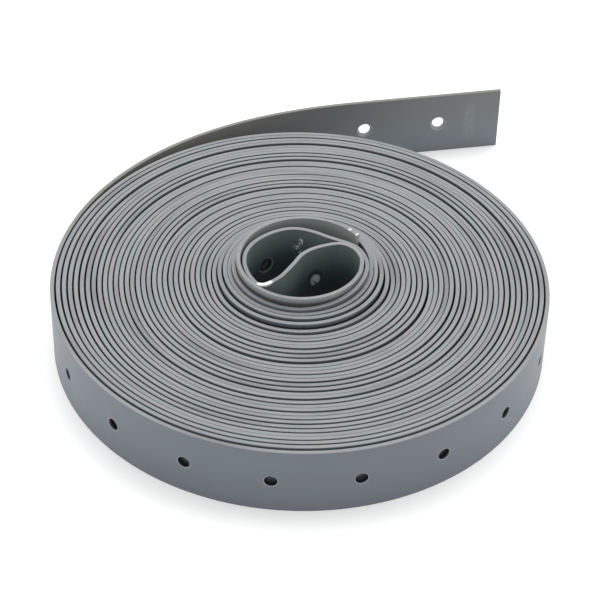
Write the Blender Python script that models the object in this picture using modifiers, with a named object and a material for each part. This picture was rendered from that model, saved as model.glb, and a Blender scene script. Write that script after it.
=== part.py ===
"""A roll of perforated plastic hanger strap, wound flat from a folded core.

The strap is one continuous strip. It starts at a short cut end, makes one ring, folds
through the middle of the roll in an S, winds outward turn on turn and leaves the roll
as a loose tail. The close turns are one turned ring, with a groove between each two
turns on both ends. The loose stretches, in the core and outside, are the strip itself.
Lengths are in metres, +Z is up and the roll lies on its edges on z = 0.
"""

import math

import bmesh
import bpy
from mathutils import Vector

# The strap itself
STRAP_WIDTH = 0.01905
STRAP_THICKNESS = 0.00105

# The winding, outward and clockwise seen from above
TURN_GAP = 0.00035
INNER_TURNS = 4
CLOSE_TURNS = 28
CORE_RADIUS = 0.0156
CORE_SLACK = 0.0005

# How the turns show on both ends of the turned ring
GROOVE_DEPTH = 0.0016
RING_SEGMENTS = 30

# The core stands proud of the roll and a little off its middle, and both fade out
CORE_LIFT = 0.0066
CORE_SHIFT = -0.0005
LIFT_TURNS = 16.0
LIFT_POWER = 4.0

# The short inner end and the first turn of the winding, as angles round the roll
INNER_END_ANGLE = 33.0
INNER_END_FLARE = 0.0010
FLARE_ANGLE = 25.0
RING_STEP_ANGLE = 8.0
RING_LAST_ANGLE = 350.0
WINDING_START_ANGLE = 355.0

# The last turn springs loose and leaves the roll as the tail, whose curl relaxes
OUTER_SLACK = 0.0005
LOOSENING_POWER = 1.5
TAIL_START_ANGLE = 182.0
TAIL_CURL_LENGTH = 0.1244
TAIL_CURL_POWER = 0.4
TAIL_FLAT_LENGTH = 0.0371

# Nail holes, counted from the tail's end
HOLE_DIAMETER = 0.0040
HOLE_SPACING = 0.0213
FIRST_HOLE_DISTANCE = 0.0176
HOLE_NUMBERS = (0, 1, 2, 3, 8, 9, 10, 11, 12, 13, 14, 15)
HOLE_SIDES = 14
HOLE_OVERCUT = 0.00025

# How far a flat panel of the loose strap may stray from the true curve
CURVE_TOLERANCE = 0.00015
ROUTE_STEP = 0.0002

# The bend out of the core's ring, as points in shares of the core radius
FIRST_BEND = ((0.990, 0.020), (0.940, 0.190), (0.855, 0.320), (0.730, 0.405))

# The rest of the S fold, in shares of the circle that just clears the ring from inside
FOLD_MIDDLE = (
    (0.658, 0.466),
    (0.387, 0.384),
    (0.175, 0.263),
    (0.035, 0.110),
    (-0.070, -0.088),
    (-0.210, -0.330),
    (-0.316, -0.485),
    (-0.457, -0.619),
    (-0.597, -0.700),
)
SECOND_BEND = ((-0.718, -0.688), (-0.813, -0.573), (-0.918, -0.380))
FAR_LOOP = (
    (-0.982, -0.120),
    (-0.968, 0.161),
    (-0.843, 0.443),
    (-0.597, 0.688),
    (-0.316, 0.839),
    (-0.044, 0.872),
    (0.246, 0.794),
    (0.482, 0.674),
)

STRAP_COLOUR = (0.352, 0.366, 0.382, 1.0)
STRAP_ROUGHNESS = 0.5

TURN_PITCH = STRAP_THICKNESS + TURN_GAP


def clear_scene():
    """Remove every object, so that the model starts from nothing."""
    for old in list(bpy.data.objects):
        bpy.data.objects.remove(old, do_unlink=True)


def make_collection(name):
    collection = bpy.data.collections.new(name)
    bpy.context.scene.collection.children.link(collection)
    return collection


def make_strap_material():
    material = bpy.data.materials.new("grey_plastic")
    material.use_nodes = True
    shader = material.node_tree.nodes["Principled BSDF"]
    shader.inputs["Base Color"].default_value = STRAP_COLOUR
    shader.inputs["Roughness"].default_value = STRAP_ROUGHNESS
    shader.inputs["Metallic"].default_value = 0.0
    return material


def polar(radius, degrees):
    angle = math.radians(degrees)
    return Vector((radius * math.cos(angle), radius * math.sin(angle), 0.0))


def scaled(shares, radius):
    """Points given in shares of a radius, at their real size."""
    return [Vector((x * radius, y * radius, 0.0)) for x, y in shares]


def ease(share):
    """A smooth step from 0 to 1."""
    share = min(1.0, max(0.0, share))
    return share * share * (3.0 - 2.0 * share)


def turn_radius(turn):
    """Middle of the strap's thickness, so many turns out from the core."""
    slack = CORE_SLACK * ease(turn / INNER_TURNS)
    return CORE_RADIUS + TURN_PITCH * (1.0 + turn) + slack


def core_offset(turn):
    """How far a turn stands up off the floor and off the roll's middle."""
    share = max(0.0, 1.0 - turn / LIFT_TURNS) ** LIFT_POWER
    return Vector((CORE_SHIFT * share, 0.0, CORE_LIFT * share))


def inner_ring():
    """The short end's ring, from its flared cut end to the fold."""
    points = []
    degrees = INNER_END_ANGLE
    while degrees < RING_LAST_ANGLE:
        flare = max(0.0, 1.0 - (degrees - INNER_END_ANGLE) / FLARE_ANGLE)
        points.append(polar(CORE_RADIUS + INNER_END_FLARE * flare ** 2, degrees))
        degrees += RING_STEP_ANGLE
    return points


def offset_outward(points, distance):
    """Shift a run of points sideways, away from the middle of the roll."""
    shifted = []
    for index, point in enumerate(points):
        before = points[max(index - 1, 0)]
        after = points[min(index + 1, len(points) - 1)]
        along = (after - before).normalized()
        outward = Vector((along.y, -along.x, 0.0))
        if outward.dot(point) < 0.0:
            outward.negate()
        shifted.append(point + outward * distance)
    return shifted


def fold():
    """The S through the middle and the far loop, back out over the first bend."""
    first_bend = scaled(FIRST_BEND, CORE_RADIUS)
    middle = scaled(FOLD_MIDDLE + SECOND_BEND + FAR_LOOP, CORE_RADIUS - TURN_PITCH)
    over_the_bend = offset_outward(first_bend, TURN_PITCH)
    over_the_bend.reverse()
    return first_bend + middle + over_the_bend


def smooth_through(points):
    """Points at ROUTE_STEP along a Catmull-Rom curve through the given ones."""
    dense = []
    last = len(points) - 1
    for index in range(last):
        p0 = points[max(index - 1, 0)]
        p1 = points[index]
        p2 = points[index + 1]
        p3 = points[min(index + 2, last)]
        pieces = max(2, round((p2 - p1).length / ROUTE_STEP))
        for piece in range(pieces):
            t = piece / pieces
            start = 2.0 * p1
            slope = (p2 - p0) * t
            bend = (2.0 * p0 - 5.0 * p1 + 4.0 * p2 - p3) * t ** 2
            twist = (3.0 * p1 - p0 - 3.0 * p2 + p3) * t ** 3
            dense.append(0.5 * (start + slope + bend + twist))
    return dense


def inner_route():
    """The loose inner strap: cut end, ring, fold and the turns up to the turned ring."""
    start = polar(turn_radius(0.0), WINDING_START_ANGLE)
    core = smooth_through(inner_ring() + fold() + [start])
    route = [point + core_offset(0.0) for point in core]
    turn = 0.0
    while turn < INNER_TURNS:
        radius = turn_radius(turn)
        on_circle = polar(radius, WINDING_START_ANGLE - 360.0 * turn)
        route.append(on_circle + core_offset(turn))
        turn += ROUTE_STEP / (2.0 * math.pi * radius)
    return route


def outer_route():
    """The last turn, from inside the turned ring's edge, and the tail's curled stretch."""
    close_radius = turn_radius(INNER_TURNS + CLOSE_TURNS - 1)
    rise = TURN_PITCH + OUTER_SLACK
    route = []
    turn = 0.0
    while turn < 1.0:
        radius = close_radius + rise * (1.0 - (1.0 - turn) ** LOOSENING_POWER)
        route.append(polar(radius, TAIL_START_ANGLE - 360.0 * turn))
        turn += ROUTE_STEP / (2.0 * math.pi * radius)
    heading = math.radians(TAIL_START_ANGLE - 90.0)
    steps = round(TAIL_CURL_LENGTH / ROUTE_STEP)
    for step in range(steps):
        heading -= ROUTE_STEP * (1.0 - step / steps) ** TAIL_CURL_POWER / (close_radius + rise)
        route.append(route[-1] + polar(ROUTE_STEP, math.degrees(heading)))
    return route


def flat_panels(route):
    """Keep only the points that hold the curve within CURVE_TOLERANCE."""
    kept = [route[0]]
    last = 0
    index = 2
    while index < len(route):
        chord = route[index] - route[last]
        middle = route[(last + index) // 2] - route[last]
        stray = (middle - chord * (middle.dot(chord) / chord.dot(chord))).length
        if stray > CURVE_TOLERANCE:
            last = index - 1
            kept.append(route[last])
            index = last + 2
        else:
            index += 1
    kept.append(route[-1])
    return kept


def outer_panels():
    """The outer strap's panels, the last one being the tail's flat end."""
    route = outer_route()
    heading = (route[-1] - route[-2]).normalized()
    return flat_panels(route) + [route[-1] + heading * TAIL_FLAT_LENGTH]


def turned_profile():
    """The turned ring's section: each turn's edge and the groove outside it, both ends."""
    top = []
    bottom = []
    for number in range(CLOSE_TURNS):
        turn = INNER_TURNS + number
        lift = core_offset(turn).z
        inside = turn_radius(turn) - STRAP_THICKNESS / 2.0
        outside = inside + STRAP_THICKNESS
        top.append((inside, lift + STRAP_WIDTH))
        top.append((outside, lift + STRAP_WIDTH))
        bottom.append((inside, lift))
        bottom.append((outside, lift))
        if number < CLOSE_TURNS - 1:
            groove = outside + TURN_GAP / 2.0
            top.append((groove, lift + STRAP_WIDTH - GROOVE_DEPTH))
            bottom.append((groove, lift + GROOVE_DEPTH))
    return top + bottom[::-1]


def make_turned_ring(collection, material):
    """Turn the section into a ring with its bore."""
    profile = bmesh.new()
    corners = [profile.verts.new((x, 0.0, z)) for x, z in turned_profile()]
    for first, second in zip(corners, corners[1:] + corners[:1]):
        profile.edges.new((first, second))
    mesh = bpy.data.meshes.new("hanger_strap")
    profile.to_mesh(mesh)
    profile.free()
    mesh.materials.append(material)
    strap = bpy.data.objects.new("hanger_strap", mesh)
    collection.objects.link(strap)
    turning = strap.modifiers.new("turning", "SCREW")
    turning.angle = 2.0 * math.pi
    turning.steps = RING_SEGMENTS
    turning.render_steps = RING_SEGMENTS
    turning.use_merge_vertices = True
    turning.merge_threshold = 0.00001
    return strap


def make_loose_strap(name, points, collection):
    """Raise a run of points into a band and give it the strap's thickness."""
    band = bmesh.new()
    corners = [band.verts.new(point) for point in points]
    for first, second in zip(corners, corners[1:]):
        band.edges.new((first, second))
    raised = bmesh.ops.extrude_edge_only(band, edges=band.edges[:])
    top = [item for item in raised["geom"] if isinstance(item, bmesh.types.BMVert)]
    bmesh.ops.translate(band, verts=top, vec=(0.0, 0.0, STRAP_WIDTH))
    mesh = bpy.data.meshes.new(name)
    band.to_mesh(mesh)
    band.free()
    loose = bpy.data.objects.new(name, mesh)
    collection.objects.link(loose)
    thickness = loose.modifiers.new("thickness", "SOLIDIFY")
    thickness.thickness = STRAP_THICKNESS
    thickness.offset = 0.0
    thickness.use_even_offset = True
    hide_from_render(loose)
    return loose


def hide_from_render(guide):
    guide.hide_render = True
    guide.display_type = "WIRE"


def place_on(points, distance):
    """The point and direction at a distance back from the tail's end."""
    left = distance
    for first, second in zip(reversed(points), reversed(points[:-1])):
        length = (second - first).length
        if left <= length:
            along = (first - second).normalized()
            return first - along * left, along
        left -= length
    raise ValueError("the hole lies past the loose strap's other end")


def make_hole_cutters(points, collection):
    """One short bar through the strap for each nail hole."""
    for number in HOLE_NUMBERS:
        spot, along = place_on(points, FIRST_HOLE_DISTANCE + number * HOLE_SPACING)
        bpy.ops.mesh.primitive_cylinder_add(
            vertices=HOLE_SIDES,
            radius=HOLE_DIAMETER / 2.0,
            depth=STRAP_THICKNESS + 2.0 * HOLE_OVERCUT,
            location=spot + Vector((0.0, 0.0, STRAP_WIDTH / 2.0)),
            rotation=(math.pi / 2.0, 0.0, math.atan2(along.y, along.x)),
        )
        cutter = bpy.context.object
        cutter.name = f"nail_hole_cutter_{number}"
        hide_from_render(cutter)
        for owner in list(cutter.users_collection):
            owner.objects.unlink(cutter)
        collection.objects.link(cutter)


def add_boolean(strap, name, operation, operands):
    """Join or cut the strap with every object of a collection."""
    boolean = strap.modifiers.new(name, "BOOLEAN")
    boolean.operation = operation
    boolean.operand_type = "COLLECTION"
    boolean.collection = operands
    boolean.solver = "EXACT"


def centre_on_origin(strap, guides):
    """Move everything so that the origin is in the middle of the roll's footprint."""
    bpy.context.view_layer.update()
    solid = strap.evaluated_get(bpy.context.evaluated_depsgraph_get())
    corners = [Vector(corner) for corner in solid.bound_box]
    low_x = min(corner.x for corner in corners)
    high_x = max(corner.x for corner in corners)
    low_y = min(corner.y for corner in corners)
    high_y = max(corner.y for corner in corners)
    shift = Vector((-(low_x + high_x) / 2.0, -(low_y + high_y) / 2.0, 0.0))
    for item in [strap] + guides:
        item.location = item.location + shift


def main():
    clear_scene()
    parts = make_collection("hanger_strap_roll")
    loose = make_collection("loose_strap")
    cutters = make_collection("cutters")
    strap = make_turned_ring(parts, make_strap_material())
    make_loose_strap("inner_run", flat_panels(inner_route()), loose)
    outer = outer_panels()
    make_loose_strap("outer_run", outer, loose)
    make_hole_cutters(outer, cutters)
    add_boolean(strap, "join_loose_strap", "UNION", loose)
    add_boolean(strap, "nail_holes", "DIFFERENCE", cutters)
    centre_on_origin(strap, list(loose.objects) + list(cutters.objects))


main()
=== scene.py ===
# %% [markdown]
# # A roll of plastic hanger strap
#
# The real thing is one long grey strip, extruded flat, punched with nail holes and then wound up. Its
# inner end makes one ring, folds through the middle in an S and carries on outward, turn on turn, until
# the last stretch leaves the roll as a loose tail. This lesson makes the strip in the same order as the
# factory: a flat strip first, then its holes, and only then the winding. A flat strip is easy to punch
# and to unwrap, and one function that says where each millimetre of it ends up does the rest.

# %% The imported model, which is the frame for everything here
import bisect
import math
import random

import bmesh
import bpy
from mathutils import Matrix, Vector


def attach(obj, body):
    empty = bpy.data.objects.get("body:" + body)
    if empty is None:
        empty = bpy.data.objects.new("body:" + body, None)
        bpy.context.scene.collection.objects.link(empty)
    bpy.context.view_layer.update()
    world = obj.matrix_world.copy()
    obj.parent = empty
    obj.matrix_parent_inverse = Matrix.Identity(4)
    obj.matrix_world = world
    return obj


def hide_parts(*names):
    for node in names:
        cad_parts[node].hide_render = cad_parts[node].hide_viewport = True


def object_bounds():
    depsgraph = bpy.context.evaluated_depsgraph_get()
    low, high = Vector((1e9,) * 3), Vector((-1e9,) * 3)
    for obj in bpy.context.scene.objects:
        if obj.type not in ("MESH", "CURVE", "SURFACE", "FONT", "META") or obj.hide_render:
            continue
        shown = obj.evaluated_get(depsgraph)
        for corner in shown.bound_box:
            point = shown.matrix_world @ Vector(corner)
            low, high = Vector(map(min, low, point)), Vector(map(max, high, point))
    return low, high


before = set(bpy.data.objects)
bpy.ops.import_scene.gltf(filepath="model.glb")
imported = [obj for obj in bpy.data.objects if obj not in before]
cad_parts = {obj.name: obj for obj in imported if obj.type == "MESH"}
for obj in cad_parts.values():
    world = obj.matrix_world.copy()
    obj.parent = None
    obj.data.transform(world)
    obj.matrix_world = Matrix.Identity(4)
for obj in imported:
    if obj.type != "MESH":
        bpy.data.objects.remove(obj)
cad_low, cad_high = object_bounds()
cad_size = [round((high - low) * 1000, 1) for low, high in zip(cad_low, cad_high)]
print("the packed roll measures", cad_size, "mm")

# %% [markdown]
# ## Sizes
#
# All lengths are in metres. The strap is the standard three-quarter inch wide, and the rest was measured
# against that width. The axis of the winding isn't the middle of the footprint, because the tail sticks
# out on one side.

# %% Sizes of the strap and of its winding
MM = 0.001
STRAP_WIDTH = 19.05 * MM
STRAP_THICKNESS = 1.05 * MM
CORNER_RADIUS = 0.13 * MM
TURN_PITCH = 1.37 * MM
WINDING_AXIS = Vector((0.0241 * MM, -10.8724 * MM, 0.0))
CORE_RADIUS = 15.6 * MM
WINDING_BASE = 15.92 * MM
TIGHT_STEP = 1.08 * MM
LAST_TURN = 33.4806
WINDING_START_ANGLE = 355.0
ROUTE_STEP = 0.2 * MM

# %% [markdown]
# ## The core's route
#
# Nobody winds a core by formula. It was folded by hand, so its route is a short list of points given
# along the fold, and a Catmull-Rom curve drawn through them. The ring before the fold is a plain circle
# that flares a little at its cut end. The whole core sits a little to the left of the winding's axis.

# %% Points of the core, from the cut end to the first turn
CORE_LEAN = 0.40 * MM
CORE_ROOM = 0.05 * MM
FOLD_STEP = 1.22 * MM
INNER_END_ANGLE = 34.0
INNER_END_FLARE = 1.8 * MM
FLARE_ANGLE = 137.0
FLARE_POWER = 1.6
RING_STEP_ANGLE = 8.0
RING_LAST_ANGLE = 350.0
FIRST_BEND = ((0.990, 0.020), (0.940, 0.190), (0.855, 0.320), (0.730, 0.405))
FOLD_MIDDLE = (
    (0.635, 0.470), (0.360, 0.384), (0.147, 0.263), (0.005, 0.110), (-0.100, -0.088),
    (-0.240, -0.330), (-0.346, -0.485), (-0.487, -0.619), (-0.622, -0.700),
)
SECOND_BEND = ((-0.735, -0.685), (-0.825, -0.573), (-0.920, -0.380))
FAR_LOOP = (
    (-0.982, -0.120), (-0.968, 0.161), (-0.843, 0.443), (-0.597, 0.688),
    (-0.316, 0.839), (-0.044, 0.872), (0.246, 0.794), (0.482, 0.674),
)


def polar(radius, degrees):
    angle = math.radians(degrees)
    return Vector((radius * math.cos(angle), radius * math.sin(angle), 0.0))


def ease(share):
    """A smooth step from 0 to 1."""
    share = min(1.0, max(0.0, share))
    return share * share * (3.0 - 2.0 * share)


def end_flare(degrees):
    """How far the ring's cut end stands out from its circle."""
    return INNER_END_FLARE * max(0.0, 1.0 - (degrees - INNER_END_ANGLE) / FLARE_ANGLE) ** FLARE_POWER


def inner_ring():
    points = []
    degrees = INNER_END_ANGLE
    while degrees < RING_LAST_ANGLE:
        points.append(polar(CORE_RADIUS + end_flare(degrees), degrees))
        degrees += RING_STEP_ANGLE
    return points


def offset_outward(points, distance):
    """Shift a run of points sideways, away from the winding's axis."""
    shifted = []
    for index, point in enumerate(points):
        before = points[max(index - 1, 0)]
        after = points[min(index + 1, len(points) - 1)]
        along = (after - before).normalized()
        outward = Vector((along.y, -along.x, 0.0))
        if outward.dot(point) < 0.0:
            outward.negate()
        shifted.append(point + outward * distance)
    return shifted


def fold():
    first = [Vector((x, y, 0.0)) * CORE_RADIUS for x, y in FIRST_BEND]
    within = CORE_RADIUS - TURN_PITCH
    middle = [Vector((x, y, 0.0)) * within for x, y in FOLD_MIDDLE + SECOND_BEND + FAR_LOOP]
    return first + middle + offset_outward(first, FOLD_STEP)[::-1]


def smooth_through(points):
    """Points at ROUTE_STEP along a Catmull-Rom curve through the given ones."""
    dense = []
    last = len(points) - 1
    for index in range(last):
        p0 = points[max(index - 1, 0)]
        p1 = points[index]
        p2 = points[index + 1]
        p3 = points[min(index + 2, last)]
        pieces = max(2, round((p2 - p1).length / ROUTE_STEP))
        for piece in range(pieces):
            t = piece / pieces
            slope = (p2 - p0) * t
            bend = (2.0 * p0 - 5.0 * p1 + 4.0 * p2 - p3) * t ** 2
            twist = (3.0 * p1 - p0 - 3.0 * p2 + p3) * t ** 3
            dense.append(0.5 * (2.0 * p1 + slope + bend + twist))
    return dense


# %% [markdown]
# ## The winding
#
# A perfect spiral looks like a drawing. On the real roll the first turns ride over the core's cut end,
# some turns lie tight against each other while a few gaps stand open, the last turns have sprung outward,
# and each one stands a touch higher or lower than its neighbour. So each of these is a small term below.
# A gap that stands open at the front needn't be open at the back, because the roll isn't quite round, so
# the front and the back each have a short list of their own. The wander that is left over comes from a
# seeded generator, so every run gives the same roll.

# %% How the turns depart from a perfect spiral
END_BUMP = 1.80 * MM
END_BUMP_ANGLE = 38.0
SPRING_OPEN = 0.90 * MM
SPRING_FROM = 25.0
SPRING_POWER = 1.3
CORNER_BULGES = ((212.0, 16.0, 0.22 * MM), (342.0, 14.0, 0.12 * MM))
WANDER = 0.04 * MM
WANDER_FROM = 2.0
WANDER_TO = 33.0
WANDER_FADE = 3.0
LIFT_WANDER = 0.07 * MM
LIFT_WANDER_TO = 32.3
LIFT_WANDER_FADE = 2.0
KNOTS_PER_TURN = 2.7

# Gaps that stand open at the front or the back, as {number of the pass: millimetres of air}, and the
# numbers of those that are shut
FRONT_OPEN = {
    4: 0.55, 5: 0.60, 6: 0.45, 10: 0.45, 13: 0.80, 18: 0.60, 19: 0.45, 20: 0.60, 22: 0.65,
    25: 0.55, 28: 0.50, 34: 0.45,
}
FRONT_SHUT = (7, 9, 14, 15, 17, 21, 24, 26, 31)
BACK_OPEN = {
    6: 0.45, 8: 0.45, 12: 0.50, 14: 0.50, 16: 0.90, 17: 0.45, 20: 0.35, 23: 0.45, 25: 0.95,
    26: 0.50, 30: 0.90, 32: 0.50, 33: 0.40,
}
BACK_SHUT = (7, 10, 13, 15, 19, 21, 22, 24, 28, 29, 31)
SHUT_GAP = 0.03
FIRST_FREE_PASS = 3
PASSES = 34
FRONT_ANGLE = 270.0
FRONT_MIDDLE = 283.0
BACK_ANGLE = 90.0
SIDE_REACH = 1.15

# Height of each turn's lower edge over the floor, as (turn, millimetres)
TURN_LIFTS = (
    (0.0, 5.60), (0.24, 4.20), (0.55, 4.60), (1.24, 3.40), (2.24, 3.30), (3.24, 2.80), (4.24, 1.70),
    (5.24, 1.25), (8.20, 1.20), (10.2, 0.85), (14.0, 0.45), (20.0, 0.20), (28.0, 0.10), (32.3, 0.30),
    (32.9, 0.0),
)

# The same for the core, as (share of the core's length, millimetres)
CORE_LIFTS = ((0.0, 6.60), (0.40, 6.60), (0.56, 6.15), (0.86, 6.10), (1.0, 5.60))

wander_source = random.Random(11)
KNOT_COUNT = int(LAST_TURN * KNOTS_PER_TURN) + 4
radius_knots = [wander_source.uniform(-1.0, 1.0) for _ in range(KNOT_COUNT)]
lift_knots = [wander_source.uniform(0.0, 1.0) for _ in range(KNOT_COUNT)]


def between_knots(knots, turn):
    place = max(0.0, turn) * KNOTS_PER_TURN
    index = int(place)
    return knots[index] + (knots[index + 1] - knots[index]) * ease(place - index)


def read_off(pairs, place):
    """The value at a place on a line drawn through a short list of pairs."""
    if place <= pairs[0][0]:
        return pairs[0][1]
    for (place_a, value_a), (place_b, value_b) in zip(pairs, pairs[1:]):
        if place <= place_b:
            return value_a + (value_b - value_a) * (place - place_a) / (place_b - place_a)
    return pairs[-1][1]


def turn_angle(turn):
    return WINDING_START_ANGLE - 360.0 * turn


def even_radius(turn):
    spring = SPRING_OPEN * (max(0.0, turn - SPRING_FROM) / (LAST_TURN - SPRING_FROM)) ** SPRING_POWER
    return WINDING_BASE + TURN_PITCH * turn + spring


def pass_shifts(degrees, open_gaps, shut_gaps):
    """How far each pass at one side of the roll lies from the even spiral, once its gaps are given."""
    first_turn = (WINDING_START_ANGLE - degrees) / 360.0
    even = [even_radius(first_turn + number) for number in range(PASSES)]
    given = {number: gap * MM for number, gap in open_gaps.items()}
    given.update({number: SHUT_GAP * MM for number in shut_gaps})
    free = range(FIRST_FREE_PASS + 1, PASSES + 1)
    room = even[-1] - even[FIRST_FREE_PASS - 1] - STRAP_THICKNESS * len(free)
    shared = (room - sum(given.values())) / (len(free) - len(given))
    shifts = [0.0] * (FIRST_FREE_PASS + 1)
    place = even[FIRST_FREE_PASS - 1]
    for number in free:
        place += STRAP_THICKNESS + given.get(number, shared)
        shifts.append(place - even[number - 1])
    print("at", degrees, "degrees the other gaps share", round(shared / MM, 3), "mm each")
    return shifts


front_shifts = pass_shifts(FRONT_ANGLE, FRONT_OPEN, FRONT_SHUT)
back_shifts = pass_shifts(BACK_ANGLE, BACK_OPEN, BACK_SHUT)
SIDES = ((FRONT_ANGLE, FRONT_MIDDLE, front_shifts), (BACK_ANGLE, BACK_ANGLE, back_shifts))


def side_shift(turn):
    """The shift of this pass, which is full at the front and the back and fades out between them."""
    shift = 0.0
    for degrees, middle, shifts in SIDES:
        number = round(turn - (WINDING_START_ANGLE - degrees) / 360.0) + 1
        near = ease(SIDE_REACH * math.cos(math.radians(turn_angle(turn) - middle)))
        shift += shifts[min(max(number, 0), PASSES)] * near
    return shift


def free_radius(turn):
    """Where a turn would lie if nothing within were in its way."""
    among = ease((turn - WANDER_FROM) / WANDER_FADE) * ease((WANDER_TO - turn) / WANDER_FADE)
    bulges = 0.0
    for at, width, bulge in CORNER_BULGES:
        away = (turn_angle(turn) - at + 180.0) % 360.0 - 180.0
        bulges += bulge * math.exp(-((away / width) ** 2))
    uneven = bulges + WANDER * between_knots(radius_knots, turn)
    return even_radius(turn) + side_shift(turn) + uneven * among


BUMP_POWER = 4
BUMP_FROM = 0.45
BUMP_FADE = 0.25
START_FADE = 0.15
CLOSE_FROM = 0.95
CLOSE_FADE = 0.05


def core_radius(turn):
    """What the first turn lies on: the ring, its cut end and, at the last, its own start."""
    degrees = turn_angle(turn)
    near_end = ((1.0 + math.cos(math.radians(degrees - END_BUMP_ANGLE))) / 2.0) ** BUMP_POWER
    bump = END_BUMP * near_end * ease((turn - BUMP_FROM) / BUMP_FADE)
    if degrees >= INNER_END_ANGLE:
        bump = max(bump, end_flare(degrees) + CORE_ROOM)
    start = (FOLD_STEP - TIGHT_STEP) * (1.0 - ease(turn / START_FADE))
    closing = FOLD_STEP * ease((turn - CLOSE_FROM) / CLOSE_FADE)
    ring = CORE_RADIUS - CORE_LEAN * math.cos(math.radians(degrees))
    return ring + max(bump, start, closing)


RADII_PER_TURN = 240


def wound_radii():
    """The radius at small steps: each turn is pushed out where the turn within leaves it no room."""
    radii = []
    for step in range(math.ceil(LAST_TURN * RADII_PER_TURN) + 2):
        turn = step / RADII_PER_TURN
        within = radii[step - RADII_PER_TURN] if step >= RADII_PER_TURN else core_radius(turn)
        radii.append(max(free_radius(turn), within + TIGHT_STEP))
    return radii


radii = wound_radii()
gaps = [outer - inner - STRAP_THICKNESS for inner, outer in zip(radii, radii[RADII_PER_TURN:])]
print("air between turns:", round(min(gaps) / MM, 3), "to", round(max(gaps) / MM, 3), "mm")


# %% Where the strip's middle is at each moment of the winding
def winding_radius(turn):
    place = turn * RADII_PER_TURN
    index = int(place)
    return radii[index] + (radii[index + 1] - radii[index]) * (place - index)


def turn_lift(turn):
    settled = ease(turn / LIFT_WANDER_FADE) * ease((LIFT_WANDER_TO - turn) / LIFT_WANDER_FADE)
    return read_off(TURN_LIFTS, turn) * MM + LIFT_WANDER * between_knots(lift_knots, turn) * settled


def winding():
    points = []
    turn = 0.0
    while turn < LAST_TURN:
        lift = Vector((0.0, 0.0, turn_lift(turn)))
        points.append(polar(winding_radius(turn), turn_angle(turn)) + lift)
        turn += ROUTE_STEP / (2.0 * math.pi * winding_radius(turn))
    return points


# %% [markdown]
# ## The tail
#
# Plastic that has been wound for months keeps a set. Where the tail leaves the roll it is still as curved
# as the last turn, and towards its cut end it straightens out, slowly first and then faster. A curvature
# that falls off as a power of the length left gives that shape, and the last stretch is flat.

# %% The tail, and the whole route in one line of points
TAIL_CURL_LENGTH = 124.4 * MM
TAIL_CURL_POWER = 0.4
TAIL_FLAT_LENGTH = 37.6 * MM


def tail(start, direction, first_radius):
    points = [start]
    heading = math.atan2(direction.y, direction.x)
    steps = round(TAIL_CURL_LENGTH / ROUTE_STEP)
    for step in range(steps):
        heading -= ROUTE_STEP * (1.0 - step / steps) ** TAIL_CURL_POWER / first_radius
        points.append(points[-1] + polar(ROUTE_STEP, math.degrees(heading)))
    points.append(points[-1] + polar(TAIL_FLAT_LENGTH, math.degrees(heading)))
    return points[1:]


def route_parts():
    """The core, the winding and the tail, each as a list of points."""
    lean = Vector((CORE_LEAN, 0.0, 0.0))
    start = polar(winding_radius(0.0), WINDING_START_ANGLE)
    core = smooth_through(inner_ring() + fold() + [start + lean])
    for index, point in enumerate(core):
        point -= lean
        point.z = read_off(CORE_LIFTS, index / len(core)) * MM
    wound = winding()
    heading = (wound[-1] - wound[-2]).normalized()
    return core, wound, tail(wound[-1], heading, winding_radius(LAST_TURN))


def running_lengths(points):
    lengths = [0.0]
    for first, second in zip(points, points[1:]):
        lengths.append(lengths[-1] + (second - first).to_2d().length)
    return lengths


core_points, wound_points, tail_points = route_parts()
route = core_points + wound_points + tail_points
route_lengths = running_lengths(route)
CORE_LENGTH = route_lengths[len(core_points)]
STRAP_LENGTH = route_lengths[-1]
print("the strap is", round(STRAP_LENGTH, 3), "m long")

# %% [markdown]
# ## Where the strip needs an edge loop
#
# The strip bends by being split into short flat panels. Tight bends in the core need panels a fraction of
# a millimetre long, while the outer turns are happy with two millimetres. So a new panel starts only when
# the curve has strayed from the straight line by a set tolerance.

# %% Panels, as positions along the route
CURVE_TOLERANCE = 0.012 * MM


def panel_ends(points, lengths):
    kept = [0]
    for index in range(2, len(points)):
        chord = points[index] - points[kept[-1]]
        middle = points[(kept[-1] + index) // 2] - points[kept[-1]]
        stray = (middle - chord * (middle.dot(chord) / chord.dot(chord))).length
        if stray > CURVE_TOLERANCE:
            kept.append(index - 1)
    kept.append(len(points) - 1)
    return [points[i] for i in kept], [lengths[i] for i in kept]


panels, panel_starts = panel_ends(route, route_lengths)
print("panels along the strip:", len(panels) - 1)

# %% [markdown]
# ## The flat strip
#
# The section is a rectangle with small round corners, as the extruder's die leaves it. A grid one face
# high and one column a panel makes a ribbon at once, which is quick even for thousands of columns. Its
# columns are slid to the panels' places, `solidify` gives it its thickness, and its four long edges are
# bevelled. The strip stands on its edge along X, with Y across its thickness and Z up its width.

# %% Make the ribbon, thicken it and round its long edges
CORNER_SEGMENTS = 2
CORNER_ANGLE = 1.0


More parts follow.
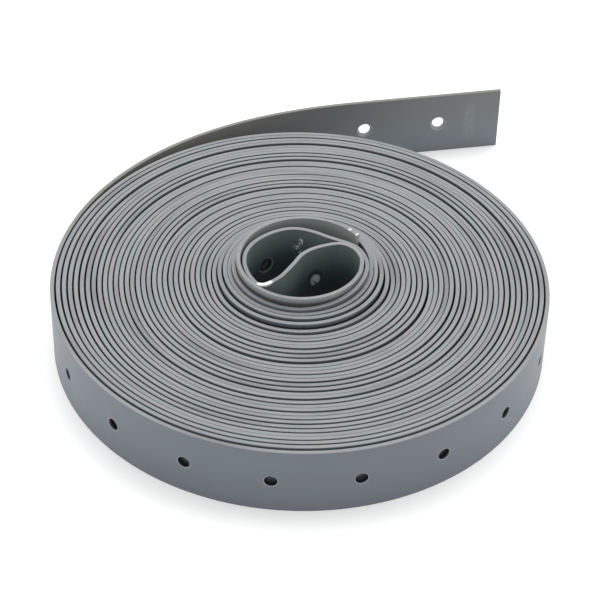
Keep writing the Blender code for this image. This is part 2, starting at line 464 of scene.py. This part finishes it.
def flat_strip():
    strip = bmesh.new()
    columns = len(panels) - 1
    upright = Matrix.Rotation(math.pi / 2.0, 4, "X")
    bmesh.ops.create_grid(strip, x_segments=columns, y_segments=1, size=0.5, matrix=upright)
    for vert in strip.verts:
        column = round((vert.co.x + 0.5) * columns)
        vert.co = Vector((panel_starts[column], 0.0, (vert.co.z + 0.5) * STRAP_WIDTH))
    bmesh.ops.solidify(strip, geom=strip.faces[:], thickness=STRAP_THICKNESS)
    middle = sum(vert.co.y for vert in strip.verts) / len(strip.verts)
    bmesh.ops.translate(strip, vec=(0.0, -middle, 0.0), verts=strip.verts)
    corners = [
        edge for edge in strip.edges
        if edge.calc_face_angle(0.0) > CORNER_ANGLE and edge.verts[0].co.x != edge.verts[1].co.x
    ]
    bmesh.ops.bevel(
        strip, geom=corners, offset=CORNER_RADIUS, offset_type="OFFSET",
        segments=CORNER_SEGMENTS, profile=0.5, affect="EDGES", material=-1,
    )
    bmesh.ops.recalc_face_normals(strip, faces=strip.faces)
    return strip


strip = flat_strip()
open_edges = sum(1 for edge in strip.edges if not edge.is_manifold)
print("flat strip:", len(strip.faces), "faces,", open_edges, "open edges")

# %% [markdown]
# ## The nail holes
#
# The real holes are punched in the flat strap, so they are cut here while it is still flat, with one
# Boolean and one mesh of cutters. The punch leaves a hole that is wider at the strap's inner face than at
# its outer face, so each cutter is a slightly tapered bar, and its two ends flare for the rounded mouths.
# The holes that show get rounder cutters than the hundreds inside the roll. One punched slug in the fold
# never fell out: that hole isn't cut, and the plastic's colour draws it.

# %% Punch every hole along the strip
OUTER_DIAMETER = 3.15 * MM
INNER_DIAMETER = 4.2 * MM
HOLE_SPACING = 21.3 * MM
TAIL_HOLE_DISTANCE = 17.6 * MM
CORE_HOLE_DISTANCE = 21.6 * MM
MOUTH = 0.10 * MM
ROUND_SIDES = 28
PLAIN_SIDES = 12

# How many holes get the rounder cutters, counted from each end, and the number of the hole with the slug
OUTER_HOLES = 26
CORE_HOLES = 9
SLUG_HOLE = 4

first_hole = CORE_HOLE_DISTANCE
last_hole = STRAP_LENGTH - TAIL_HOLE_DISTANCE
hole_count = round((last_hole - first_hole) / HOLE_SPACING) + 1
hole_pitch = (last_hole - first_hole) / (hole_count - 1)
hole_places = [first_hole + hole_pitch * number for number in range(hole_count)]


def add_cutter(cutters, place, sides):
    """A punch across the strip: a tapered bar whose two ends flare past the faces."""
    across = Matrix.Translation((place, 0.0, STRAP_WIDTH / 2.0)) @ Matrix.Rotation(math.pi / 2.0, 4, "X")
    bar = bmesh.ops.create_cone(
        cutters, cap_ends=True, cap_tris=False, segments=sides, radius1=OUTER_DIAMETER / 2.0,
        radius2=INNER_DIAMETER / 2.0, depth=STRAP_THICKNESS - 2.0 * MOUTH, matrix=across,
    )
    around = dict.fromkeys(face for vert in bar["verts"] for face in vert.link_faces)
    caps = [face for face in around if len(face.verts) == sides]
    flare = 2.0 * MOUTH
    for cap in caps:
        side = math.copysign(1.0, cap.calc_center_median().y)
        wider = 1.0 + 2.0 * flare / (OUTER_DIAMETER if side > 0.0 else INNER_DIAMETER)
        grown = bmesh.ops.extrude_face_region(cutters, geom=[cap])
        verts = [item for item in grown["geom"] if isinstance(item, bmesh.types.BMVert)]
        bmesh.ops.delete(cutters, geom=[cap], context="FACES_ONLY")
        bmesh.ops.scale(
            cutters, vec=(wider, 1.0, wider), verts=verts,
            space=Matrix.Translation((-place, 0.0, -STRAP_WIDTH / 2.0)),
        )
        bmesh.ops.translate(cutters, vec=(0.0, side * flare, 0.0), verts=verts)


def hole_cutters():
    cutters = bmesh.new()
    for number, place in enumerate(hole_places):
        shows = number < CORE_HOLES or number >= hole_count - OUTER_HOLES
        if number != SLUG_HOLE:
            add_cutter(cutters, place, ROUND_SIDES if shows else PLAIN_SIDES)
    bmesh.ops.recalc_face_normals(cutters, faces=cutters.faces)
    return cutters


def as_object(name, mesh_data):
    mesh = bpy.data.meshes.new(name)
    mesh_data.to_mesh(mesh)
    mesh_data.free()
    made = bpy.data.objects.new(name, mesh)
    bpy.context.scene.collection.objects.link(made)
    return made


def punched(body, cutters):
    """The body's mesh with every cutter taken out of it."""
    cut = body.modifiers.new("punch", "BOOLEAN")
    cut.operation = "DIFFERENCE"
    cut.solver = "EXACT"
    cut.object = cutters
    seen = body.evaluated_get(bpy.context.evaluated_depsgraph_get())
    mesh = bpy.data.meshes.new_from_object(seen)
    result = bmesh.new()
    result.from_mesh(mesh)
    bpy.data.objects.remove(body)
    bpy.data.objects.remove(cutters)
    return result


strap = punched(as_object("flat strip", strip), as_object("punches", hole_cutters()))
open_edges = sum(1 for edge in strap.edges if not edge.is_manifold)
print("holes:", hole_count, "at", round(hole_pitch / MM, 3), "mm")
print("punched strip:", len(strap.faces), "faces,", open_edges, "open edges")

# %% [markdown]
# ## A map on the flat strip
#
# While the strip is flat its own coordinates are the best texture map it can have, so they are stored as
# a UV map: U is the distance from the inner cut end and V the height, both in metres. Every streak, scuff
# and whitened rim in the material is placed with it, and they follow the strip through its turns. The map
# can't tell the strip's two faces apart, so an attribute marks the one that comes to lie inward.

# %% Store the length and height of every corner, and the side of every face
STRIP_MAP = "strip"
INWARD = "inward"

layer = strap.loops.layers.uv.new(STRIP_MAP)
inward_layer = strap.faces.layers.float.new(INWARD)
for face in strap.faces:
    face[inward_layer] = 1.0 if face.normal.y < -0.5 else 0.0
    for loop in face.loops:
        loop[layer].uv = (loop.vert.co.x, loop.vert.co.z)
print("mapped", len(strap.faces), "faces,", sum(1 for f in strap.faces if f[inward_layer]), "of them inward")

# %% [markdown]
# ## Winding it up
#
# Each vertex knows how far along the strip it is, so it goes to that place on the route, and then
# sideways by its distance from the strip's middle. At a fold between two panels sideways is the mitre
# between them, as at the corner of a picture frame, which keeps the strip at its full thickness.

# %% Move every vertex to its place in the roll
def mitres(points):
    """The sideways step of one unit at each fold."""
    normals = []
    for first, second in zip(points, points[1:]):
        along = (second - first).to_2d().normalized()
        normals.append(Vector((-along.y, along.x, 0.0)))
    steps = [normals[0]]
    for before, after in zip(normals, normals[1:]):
        both = before + after
        steps.append(both * (2.0 / both.dot(both)))
    steps.append(normals[-1])
    return steps


def wind(mesh_data):
    steps = mitres(panels)
    for vert in mesh_data.verts:
        after = min(max(bisect.bisect_right(panel_starts, vert.co.x), 1), len(panels) - 1)
        before = after - 1
        share = (vert.co.x - panel_starts[before]) / (panel_starts[after] - panel_starts[before])
        place = panels[before].lerp(panels[after], share)
        sideways = steps[before].lerp(steps[after], share)
        vert.co = place + sideways * vert.co.y + Vector((0.0, 0.0, vert.co.z))
    bmesh.ops.translate(mesh_data, vec=WINDING_AXIS, verts=mesh_data.verts)
    bmesh.ops.recalc_face_normals(mesh_data, faces=mesh_data.faces)


wind(strap)
print("wound", len(strap.verts), "vertices")

# %% [markdown]
# ## One finished piece
#
# Smooth shading makes the short panels read as one curve, and the edges of the holes and of the cut ends
# stay sharp. Weighted normals let the wide faces win over the narrow bevels, so the strip looks flat
# across its width.

# %% Put the strap in the scene
SHARP_ANGLE = math.radians(50.0)
roll = as_object("hanger_strap_roll", strap)
roll.data.shade_smooth()
roll.data.set_sharp_from_angle(angle=SHARP_ANGLE)
weighted = roll.modifiers.new("flat faces win", "WEIGHTED_NORMAL")
weighted.keep_sharp = True
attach(roll, "root")
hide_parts("hanger_strap")
triangles = sum(len(face.vertices) - 2 for face in roll.data.polygons)
print("one piece,", triangles, "triangles")

# %% [markdown]
# ## The plastic
#
# The strap is blue-grey plastic with the soft sheen of an extruded face. A single colour would look like
# paint, so the colour is built in layers that follow the strip's own map: slow changes along its length,
# fine lines that the die draws lengthwise, paler slit edges, and a whitened ring where each hole was
# punched. A small helper adds one Math node at a time, which keeps the layers readable.

# %% Helpers for shader nodes
plastic = bpy.data.materials.new("grey strap plastic")
plastic.use_nodes = True
nodes = plastic.node_tree.nodes
links = plastic.node_tree.links
shader = nodes["Principled BSDF"]


def feed(socket, value):
    """Link another node's output to a socket, or set the socket to a plain value."""
    if isinstance(value, bpy.types.NodeSocket):
        links.new(value, socket)
    else:
        socket.default_value = value


def calc(operation, *values):
    node = nodes.new("ShaderNodeMath")
    node.operation = operation
    for socket, value in zip(node.inputs, values):
        feed(socket, value)
    return node.outputs["Value"]


def inverse(share):
    """1 where the share is 0, and 0 where it is 1."""
    return calc("SUBTRACT", 1.0, share)


def fade(value, start, end):
    """0 before start and 1 after end, with a smooth step between."""
    node = nodes.new("ShaderNodeMapRange")
    node.interpolation_type = "SMOOTHSTEP"
    feed(node.inputs["Value"], value)
    node.inputs["From Min"].default_value = start
    node.inputs["From Max"].default_value = end
    return node.outputs["Result"]


def spread(value, low, high):
    """Turn 0 to 1 into low to high."""
    node = nodes.new("ShaderNodeMapRange")
    feed(node.inputs["Value"], value)
    node.inputs["To Min"].default_value = low
    node.inputs["To Max"].default_value = high
    return node.outputs["Result"]


def noise(u, v, scale_u, scale_v, detail=2.0, phase=0.0):
    """Noise on the strip's map, with its own count of grains in a metre along and across."""
    place = nodes.new("ShaderNodeCombineXYZ")
    feed(place.inputs["X"], calc("MULTIPLY", u, scale_u))
    feed(place.inputs["Y"], calc("MULTIPLY", v, scale_v))
    place.inputs["Z"].default_value = phase
    node = nodes.new("ShaderNodeTexNoise")
    links.new(place.outputs["Vector"], node.inputs["Vector"])
    node.inputs["Scale"].default_value = 1.0
    node.inputs["Detail"].default_value = detail
    return node.outputs["Fac"]


# The Mix node's own numbers for its share, its two colours and its result
MIX_SHARE = 0
MIX_BASE = 6
MIX_LAYER = 7
MIX_RESULT = 2


def tint(base, layer_colour, share):
    """Lay a colour over another by a share from 0 to 1."""
    node = nodes.new("ShaderNodeMix")
    node.data_type = "RGBA"
    feed(node.inputs[MIX_SHARE], share)
    feed(node.inputs[MIX_BASE], base)
    feed(node.inputs[MIX_LAYER], layer_colour)
    return node.outputs[MIX_RESULT]


# %% Where a point is on the strip
RING_END = 82.0 * MM
PATCH_CORE = 0.55
EDGE_WEAR = (0.06 * MM, 0.22 * MM)
RIM_WIDTH = 0.26 * MM

strip_uv = nodes.new("ShaderNodeUVMap")
strip_uv.uv_map = STRIP_MAP
split = nodes.new("ShaderNodeSeparateXYZ")
links.new(strip_uv.outputs["UV"], split.inputs["Vector"])
along = split.outputs["X"]
height = split.outputs["Y"]
off_middle = calc("ABSOLUTE", calc("SUBTRACT", height, STRAP_WIDTH / 2.0))
from_edge = calc("SUBTRACT", STRAP_WIDTH / 2.0, off_middle)
from_top = calc("SUBTRACT", STRAP_WIDTH, height)
side_of_strap = nodes.new("ShaderNodeAttribute")
side_of_strap.attribute_name = INWARD
inward = side_of_strap.outputs["Fac"]


def between(start, end, soft):
    """1 on the stretch of strap from start to end, with soft ends."""
    begun = fade(along, start, start + soft)
    over = fade(along, end - soft, end)
    return calc("MULTIPLY", begun, inverse(over))


def patch(place, level, half_length, half_height):
    """1 in the middle of a soft oval on the strap, and 0 outside it."""
    sideways = calc("DIVIDE", calc("SUBTRACT", along, place), half_length)
    upward = calc("DIVIDE", calc("SUBTRACT", height, level), half_height)
    reach = calc("SQRT", calc("ADD", calc("POWER", sideways, 2.0), calc("POWER", upward, 2.0)))
    return inverse(fade(reach, PATCH_CORE, 1.0))


def ring_behind(place):
    """Where the ring passes behind a place in the fold, as a length from the inner cut end."""
    seen_point = route[bisect.bisect_left(route_lengths, place)]
    on_ring = range(bisect.bisect_left(route_lengths, RING_END))
    return route_lengths[min(on_ring, key=lambda index: (route[index] - seen_point).to_2d().length)]


edge_share = inverse(fade(from_edge, *EDGE_WEAR))
from_hole = calc("SUBTRACT", along, first_hole - hole_pitch / 2.0)
in_cell = calc("SUBTRACT", calc("MODULO", from_hole, hole_pitch), hole_pitch / 2.0)
hole_reach = calc("SQRT", calc("ADD", calc("POWER", in_cell, 2.0), calc("POWER", off_middle, 2.0)))
mouth_radius = spread(inward, OUTER_DIAMETER / 2.0 + MOUTH, INNER_DIAMETER / 2.0 + MOUTH)
past_mouth = calc("SUBTRACT", hole_reach, mouth_radius)
rim_share = inverse(fade(past_mouth, 0.0, RIM_WIDTH))

# %% [markdown]
# ## Colour in layers
#
# The main colour changes slowly along the strap. On top come the stretches that differ. The ring of the
# core is made paler by painted light, and painted shade darkens its front to a dark foot. The fold is
# painted with light and shade: green-grey at its top edge and almost black-green deep down. Painted
# shade darkens the faces between the turns. The tail carries painted light that makes it browner at its
# top and paler low down, and a painted warm reflection of the roll lies on its inner face near the roll.
# The slit edges are paler, and they lean to pink in some places and to green in others. In one hole of
# the fold, painted shade darkens the bore and the ring seen through it.

# %% Layers of colour
FACE_COLOUR = (0.117, 0.138, 0.162, 1.0)
FACE_DARK = (0.105, 0.124, 0.146, 1.0)
# Painted light makes the ring paler; painted shade darkens its front, deepest low down
RING_LIT_COLOUR = (0.262, 0.288, 0.284, 1.0)
RING_SHADE = (0.050, 0.048, 0.043, 1.0)
DEEP_SHADE = (0.004, 0.007, 0.008, 1.0)
# The tail's painted light from its top down, its edges, and a painted warm reflection of the roll at its
# root
TAIL_TOP_COLOUR = (0.126, 0.130, 0.127, 1.0)
TAIL_LOW_COLOUR = (0.133, 0.154, 0.168, 1.0)
TAIL_EDGE_COLOUR = (0.175, 0.175, 0.158, 1.0)
TAIL_ROOT_REFLECTION = (0.200, 0.190, 0.165, 1.0)
# The fold's painted light and shade, from its top edge down
FOLD_TOP_COLOUR = (0.118, 0.150, 0.144, 1.0)
FOLD_SHADE = (0.032, 0.066, 0.076, 1.0)
FOLD_DEEP_SHADE = (0.012, 0.022, 0.027, 1.0)
# Painted shade on the faces between the turns
GAP_SHADE = (0.024, 0.024, 0.026, 1.0)
EDGE_PINK = (0.232, 0.230, 0.243, 1.0)
EDGE_GREEN = (0.210, 0.231, 0.238, 1.0)
EDGE_DARK = (0.155, 0.158, 0.167, 1.0)
RIM_COLOUR = (0.30, 0.32, 0.33, 1.0)
WHITENED = (0.80, 0.80, 0.78, 1.0)

DARK_HOLE = 6
DARK_SIZE = 4.5 * MM
BORE_FADE = (-0.25 * MM, -0.05 * MM)
RING_FRONT = 36.0 * MM
RING_FADE = 8.0 * MM
FOLD_END = CORE_LENGTH - 4.0 * MM
FOLD_FADE = 6.0 * MM
ROLL_FADE = 8.0 * MM
TAIL_START = STRAP_LENGTH - TAIL_CURL_LENGTH - TAIL_FLAT_LENGTH
TAIL_FADE = (TAIL_START - 30.0 * MM, TAIL_START + 20.0 * MM)
TAIL_EDGE_FADE = (TAIL_START, TAIL_START + 40.0 * MM)
ROOT_BEGINS = (TAIL_START + 5.0 * MM, TAIL_START + 45.0 * MM)
ROOT_ENDS = (TAIL_START + 66.0 * MM, TAIL_START + 118.0 * MM)
OUTER_TURN_START = TAIL_START - 2.0 * math.pi * winding_radius(LAST_TURN - 0.5)
SLOW_GRAINS = (9.0, 60.0)
SLOW_SHARE = 0.62
LINE_GRAINS = (14.0, 2600.0)
LINE_SHARE = 0.13
FINE_GRAINS = (1500.0, 1500.0)
GRAIN_SHARE = 0.25
FACE_FADE = (0.36, 0.64)
EDGE_HUE_GRAINS = (55.0, 0.0)
EDGE_HUE_FADE = (0.42, 0.58)
EDGE_TONE_GRAINS = (26.0, 0.0)
EDGE_TONE_FADE = (0.30, 0.56)
TAIL_SHARE = 0.85
ROOT_REFLECTION_SHARE = 0.9
RIM_SHARE = 0.55
SHADE_EASE_MIDDLE = 0.3

# Where a colour starts and where it is full, from the top edge down or in from the nearer edge
RING_SHADE_DEPTHS = (0.4 * MM, 1.8 * MM)
RING_DEEP_SHADE_DEPTHS = (3.0 * MM, 7.0 * MM)
TAIL_DEPTHS = (1.0 * MM, 14.0 * MM)
FOLD_SHADE_DEPTHS = (0.8 * MM, 10.0 * MM)
FOLD_DEEP_SHADE_DEPTHS = (6.0 * MM, 14.0 * MM)
GAP_SHADE_DEPTHS = (0.3 * MM, 1.5 * MM)
SHADE_EASE_DEPTHS = (4.0 * MM, 7.0 * MM)

slow = noise(along, height, *SLOW_GRAINS, detail=3.0)
lines = noise(along, height, *LINE_GRAINS, detail=2.0, phase=3.0)
grain = noise(along, height, *FINE_GRAINS, detail=3.0, phase=7.0)
fine = calc("ADD", calc("MULTIPLY", lines, LINE_SHARE), calc("MULTIPLY", grain, GRAIN_SHARE))
face_share = calc("ADD", calc("MULTIPLY", slow, SLOW_SHARE), fine)
colour = tint(FACE_DARK, FACE_COLOUR, fade(face_share, *FACE_FADE))

# The ring, paler with painted light, and the painted shade at the foot of its front
colour = tint(colour, RING_LIT_COLOUR, inverse(fade(along, RING_END - RING_FADE, RING_END)))
front_ring = between(RING_FRONT, RING_END + RING_FADE / 2.0, RING_FADE)
colour = tint(colour, RING_SHADE, calc("MULTIPLY", front_ring, fade(from_top, *RING_SHADE_DEPTHS)))
colour = tint(colour, DEEP_SHADE, calc("MULTIPLY", front_ring, fade(from_top, *RING_DEEP_SHADE_DEPTHS)))

# The tail's painted light from top to bottom, and the painted reflection at its root
tail_share = fade(along, *TAIL_FADE)
root_reflection_share = calc("MULTIPLY", fade(along, *ROOT_BEGINS), inverse(fade(along, *ROOT_ENDS)))
tail_painted_light = tint(TAIL_TOP_COLOUR, TAIL_LOW_COLOUR, fade(from_top, *TAIL_DEPTHS))
colour = tint(colour, tail_painted_light, calc("MULTIPLY", tail_share, TAIL_SHARE))
inner_root_reflection = calc("MULTIPLY", root_reflection_share, calc("MULTIPLY", inward, ROOT_REFLECTION_SHARE))
colour = tint(colour, TAIL_ROOT_REFLECTION, inner_root_reflection)

# The fold's painted light and shade from top to bottom, and the faces inside the roll
in_fold = between(RING_END, FOLD_END, FOLD_FADE)
colour = tint(colour, FOLD_TOP_COLOUR, in_fold)
colour = tint(colour, FOLD_SHADE, calc("MULTIPLY", in_fold, fade(from_top, *FOLD_SHADE_DEPTHS)))
colour = tint(colour, FOLD_DEEP_SHADE, calc("MULTIPLY", in_fold, fade(from_top, *FOLD_DEEP_SHADE_DEPTHS)))
# Painted shade on the faces between the turns, a little weaker towards the middle of the strap's height
in_roll = between(CORE_LENGTH + 2.0 * MM, OUTER_TURN_START, ROLL_FADE)
eased_shade = calc("MULTIPLY", fade(from_edge, *SHADE_EASE_DEPTHS), SHADE_EASE_MIDDLE)
gap_shade_share = calc("SUBTRACT", fade(from_edge, *GAP_SHADE_DEPTHS), eased_shade)
colour = tint(colour, GAP_SHADE, calc("MULTIPLY", in_roll, gap_shade_share))

# The slit edges and the rims of the holes
edge_hue = noise(along, height, *EDGE_HUE_GRAINS, detail=2.0, phase=5.0)
edge_tone = noise(along, height, *EDGE_TONE_GRAINS, detail=4.0, phase=11.0)
edge = tint(EDGE_GREEN, EDGE_PINK, fade(edge_hue, *EDGE_HUE_FADE))
edge = tint(EDGE_DARK, edge, fade(edge_tone, *EDGE_TONE_FADE))
edge = tint(edge, TAIL_EDGE_COLOUR, fade(along, *TAIL_EDGE_FADE))
colour = tint(colour, edge, edge_share)
colour = tint(colour, RIM_COLOUR, calc("MULTIPLY", rim_share, RIM_SHARE))

# Painted shade in the dark hole: on its bore, and on the ring that is seen through it
dark_place = hole_places[DARK_HOLE]
bore = inverse(fade(past_mouth, *BORE_FADE))
near_dark = between(dark_place - HOLE_SPACING / 4.0, dark_place + HOLE_SPACING / 4.0, 1.0 * MM)
colour = tint(colour, DEEP_SHADE, calc("MULTIPLY", near_dark, bore))
behind = patch(ring_behind(dark_place), STRAP_WIDTH / 2.0, DARK_SIZE, DARK_SIZE)
colour = tint(colour, DEEP_SHADE, behind)

# %% [markdown]
# ## Marks
#
# Bent or scraped plastic turns white. This roll has whitened where the fold is sharpest, and a painted
# glint lies on that spot too. It has also whitened at two spots by its inner cut end, and in a few chips
# on the fold's far wall. The two cut faces are paler too. There is a faint upright scuff near the tail's
# end, and the slug that stayed in its hole. Every mark but the cut faces is a soft oval on the strap's own
# map, and noise breaks some of them up.

# %% Whitened and scuffed places
SLUG_COLOUR = (0.44, 0.50, 0.51, 1.0)
SLUG_SHADOW = (0.010, 0.014, 0.016, 1.0)
SLUG_DROP = 0.6 * MM
SLUG_SHIFT = 0.2 * MM
SLUG_SIZE = (1.8 * MM, 2.1 * MM)
SHADOW_SIZE = (2.9 * MM, 3.0 * MM)
CUT_SKIN = 0.02 * MM
CUT_FADE = 0.12 * MM
CUT_SHARE = 0.8
SCUFF_FROM_END = 8.5 * MM
SCUFF_SIZE = (2.2 * MM, 8.0 * MM)
SCUFF_SHARE = 0.14
FLECK_GRAINS = (700.0, 900.0)
FLECK_FADE = (0.32, 0.50)
RAGGED_GRAINS = (1600.0, 1300.0)
RAGGED_FADE = (0.46, 0.58)

# White places at the strap's top edge, as (millimetres along, half length, half height, strength)
WHITE_PLACES = (
    # The first, where the fold is sharpest, is whitening with a painted glint on it
    (126.0, 2.5, 0.75, 0.95),
    (0.0, 0.60, 0.45, 0.85),
    (2.9, 0.45, 0.30, 0.55),
)

# Chips, as (millimetres along, height, half length, half height)
CHIPS = ((159.4, 15.0, 0.75, 1.6), (158.2, 13.4, 0.95, 1.1), (159.3, 12.0, 0.55, 1.1))

slug_place = hole_places[SLUG_HOLE]
slug_level = STRAP_WIDTH / 2.0 - SLUG_DROP
fleck = fade(noise(along, height, *FLECK_GRAINS, detail=3.0, phase=23.0), *FLECK_FADE)
ragged = fade(noise(along, height, *RAGGED_GRAINS, detail=3.0, phase=41.0), *RAGGED_FADE)

slug = patch(slug_place - SLUG_SHIFT, slug_level, *SLUG_SIZE)
colour = tint(colour, SLUG_SHADOW, patch(slug_place, STRAP_WIDTH / 2.0, *SHADOW_SIZE))
colour = tint(colour, SLUG_COLOUR, calc("MULTIPLY", slug, fleck))
for place, half_length, half_height, strength in WHITE_PLACES:
    white = patch(place * MM, STRAP_WIDTH, half_length * MM, half_height * MM)
    colour = tint(colour, WHITENED, calc("MULTIPLY", white, strength))
for place, level, half_length, half_height in CHIPS:
    chip = patch(place * MM, level * MM, half_length * MM, half_height * MM)
    colour = tint(colour, WHITENED, calc("MULTIPLY", chip, ragged))
cut_face = inverse(between(CUT_SKIN, STRAP_LENGTH - CUT_SKIN, CUT_FADE))
colour = tint(colour, RIM_COLOUR, calc("MULTIPLY", cut_face, CUT_SHARE))
scuff = patch(STRAP_LENGTH - SCUFF_FROM_END, STRAP_WIDTH / 2.0, *SCUFF_SIZE)
colour = tint(colour, RIM_COLOUR, calc("MULTIPLY", scuff, calc("MULTIPLY", fleck, SCUFF_SHARE)))
feed(shader.inputs["Base Color"], colour)

# %% Sheen and fine relief
GLOSSIEST = 0.36
DULLEST = 0.50
EDGE_DULLS = 0.08
GRIME_DULLS = 0.40
LINE_RELIEF = 0.25
GRAIN_RELIEF = 0.6
RELIEF_STRENGTH = 0.30
RELIEF_DEPTH = 0.00004
GRIMY_DEPTHS = (2.0 * MM, 9.0 * MM)

shader.inputs["IOR"].default_value = 1.5
rough = calc("ADD", spread(grain, GLOSSIEST, DULLEST), calc("MULTIPLY", edge_share, EDGE_DULLS))
grimy_stretch = between(RING_FRONT, FOLD_END, FOLD_FADE)
grimy = calc("MULTIPLY", grimy_stretch, fade(from_top, *GRIMY_DEPTHS))
feed(shader.inputs["Roughness"], calc("ADD", rough, calc("MULTIPLY", grimy, GRIME_DULLS)))

relief = calc("ADD", calc("MULTIPLY", lines, LINE_RELIEF), calc("MULTIPLY", grain, GRAIN_RELIEF))
bump = nodes.new("ShaderNodeBump")
bump.inputs["Strength"].default_value = RELIEF_STRENGTH
bump.inputs["Distance"].default_value = RELIEF_DEPTH
feed(bump.inputs["Height"], relief)
links.new(bump.outputs["Normal"], shader.inputs["Normal"])
roll.data.materials.append(plastic)
print("plastic has", len(nodes), "nodes")

# %% [markdown]
# ## Floor and light
#
# The roll lies on white paper in a light tent: white all round, a broad lamp above, and a weaker one at
# each side whose light is slightly green. No lamp stands on the camera's own side, so the near wall of
# the roll is its darkest part, and its left and right sides are paler. Large lamps keep shadows soft.

# %% A white floor and a white surround
bpy.context.scene.view_settings.view_transform = "Standard"
FLOOR_SIZE = 6.0
PAPER_COLOUR = (0.90, 0.90, 0.90, 1.0)
PAPER_ROUGHNESS = 0.9
PAPER_GLOW = 0.18
TENT_GLOW = 0.85
WHITE = (1.0, 1.0, 1.0, 1.0)


def make_floor():
    sheet = bmesh.new()
    bmesh.ops.create_grid(sheet, x_segments=1, y_segments=1, size=FLOOR_SIZE / 2.0)
    floor = as_object("floor", sheet)
    paper = bpy.data.materials.new("white paper")
    paper.use_nodes = True
    sheet_shader = paper.node_tree.nodes["Principled BSDF"]
    sheet_shader.inputs["Base Color"].default_value = PAPER_COLOUR
    sheet_shader.inputs["Roughness"].default_value = PAPER_ROUGHNESS
    sheet_shader.inputs["Emission Color"].default_value = WHITE
    sheet_shader.inputs["Emission Strength"].default_value = PAPER_GLOW
    floor.data.materials.append(paper)


def make_surround():
    world = bpy.data.worlds.new("light tent")
    world.use_nodes = True
    backdrop = world.node_tree.nodes["Background"]
    backdrop.inputs["Color"].default_value = WHITE
    backdrop.inputs["Strength"].default_value = TENT_GLOW
    bpy.context.scene.world = world


make_floor()
make_surround()
print("the paper is", FLOOR_SIZE, "m wide")


# %% Lamps
LAMP_TARGET = (0.0, 0.0, 0.01)
WHITE_LIGHT = (1.0, 1.0, 1.0)
SIDE_LIGHT = (0.96, 1.0, 0.94)

# Name, place in metres, width, depth, watts and colour
LAMPS = (
    ("top lamp", (0.05, 0.35, 0.75), 0.9, 0.7, 5.0, WHITE_LIGHT),
    ("left lamp", (-0.9, 0.1, 0.30), 0.5, 0.8, 2.0, SIDE_LIGHT),
    ("right lamp", (0.9, 0.1, 0.30), 0.5, 0.8, 2.0, SIDE_LIGHT),
)


def aimed(thing, place, target):
    thing.location = place
    thing.rotation_mode = "QUATERNION"
    thing.rotation_quaternion = (Vector(target) - Vector(place)).to_track_quat("-Z", "Y")


def add_lamp(name, place, width, depth, power, colour):
    lamp = bpy.data.lights.new(name, "AREA")
    lamp.shape = "RECTANGLE"
    lamp.size = width
    lamp.size_y = depth
    lamp.energy = power
    lamp.color = colour
    holder = bpy.data.objects.new(name, lamp)
    bpy.context.scene.collection.objects.link(holder)
    aimed(holder, place, LAMP_TARGET)


for lamp in LAMPS:
    add_lamp(*lamp)
print("lamps:", len(LAMPS))

# %% [markdown]
# ## The camera
#
# The camera was fitted to the roll's outline in the photo. It looks down on the roll from the front
# through a long lens, and it is rolled by a little over one degree.

# %% A camera in the photo's place
CAMERA_PLACE = Vector((-0.246 * MM, -421.4 * MM, 363.7 * MM))
CAMERA_DOWN = math.radians(40.61)
CAMERA_ROLL = math.radians(1.368)
CAMERA_LENS = 127.476
SENSOR_WIDTH = 36.0


def add_camera():
    camera = bpy.data.cameras.new("camera")
    camera.lens = CAMERA_LENS
    camera.sensor_width = SENSOR_WIDTH
    holder = bpy.data.objects.new("camera", camera)
    bpy.context.scene.collection.objects.link(holder)
    tilt = Matrix.Rotation(math.pi / 2.0 - CAMERA_DOWN, 4, "X")
    holder.matrix_world = Matrix.Translation(CAMERA_PLACE) @ tilt @ Matrix.Rotation(CAMERA_ROLL, 4, "Z")
    bpy.context.scene.camera = holder


add_camera()
print("camera", round(CAMERA_PLACE.length, 3), "m from the middle of the footprint")

# %% [markdown]
# ## The packed box
#
# The packed model's box is written down in millimetres. The dressed roll has to be as large as the
# imported model.

# %% Write down the packed box and finish
print("packed box", [round(value / MM, 2) for value in (*cad_low, *cad_high)])
